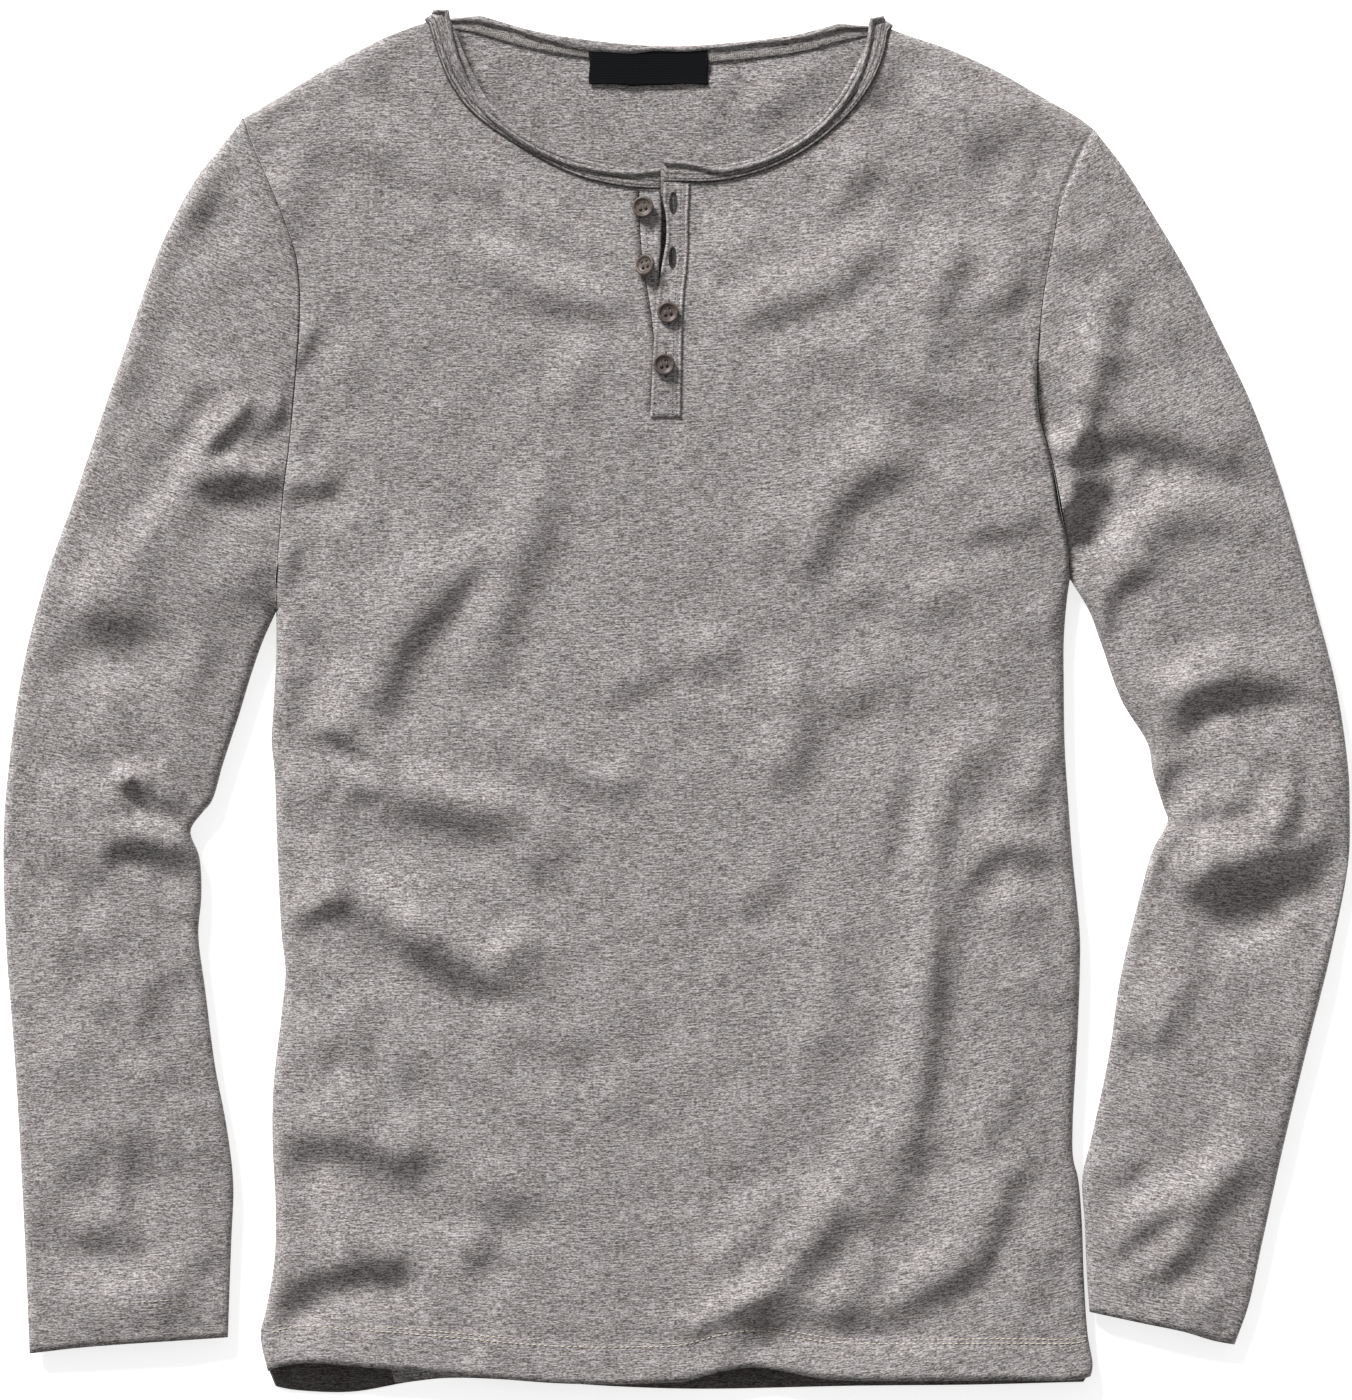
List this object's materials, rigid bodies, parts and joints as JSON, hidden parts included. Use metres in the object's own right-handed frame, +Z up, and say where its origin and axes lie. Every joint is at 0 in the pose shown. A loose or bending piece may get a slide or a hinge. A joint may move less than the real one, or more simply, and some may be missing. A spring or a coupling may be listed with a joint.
{
  "type": "henley shirt",
  "caption": "Long-sleeved knit henley shirt laid flat, front up, with a round banded neck, a short buttoned placket, a bare neck label and straight hems.",
  "frame": {"origin": "middle of the shirt's footprint, on the surface it lies on", "axes": "+Z up out of the shirt's front, +Y from the hem to the neck, +X to the right of a person looking down at the front"},
  "size_m": [0.7137, 0.7355, 0.0225],
  "materials": {
    "jersey": "mottled heather grey jersey, matt",
    "band": "mottled heather grey jersey, matt, stitched",
    "button": "brown-grey horn look, satin",
    "label": "black woven tape, bare"
  },
  "bodies": {
    "root": {"front": "jersey", "back": "jersey", "sleeve_left": "jersey", "sleeve_right": "jersey", "neckband": "band", "placket_top": "band", "placket_under": "band", "label": "label", "button_1": "button", "button_2": "button", "button_3": "button", "button_4": "button"}
  },
  "joints": []
}
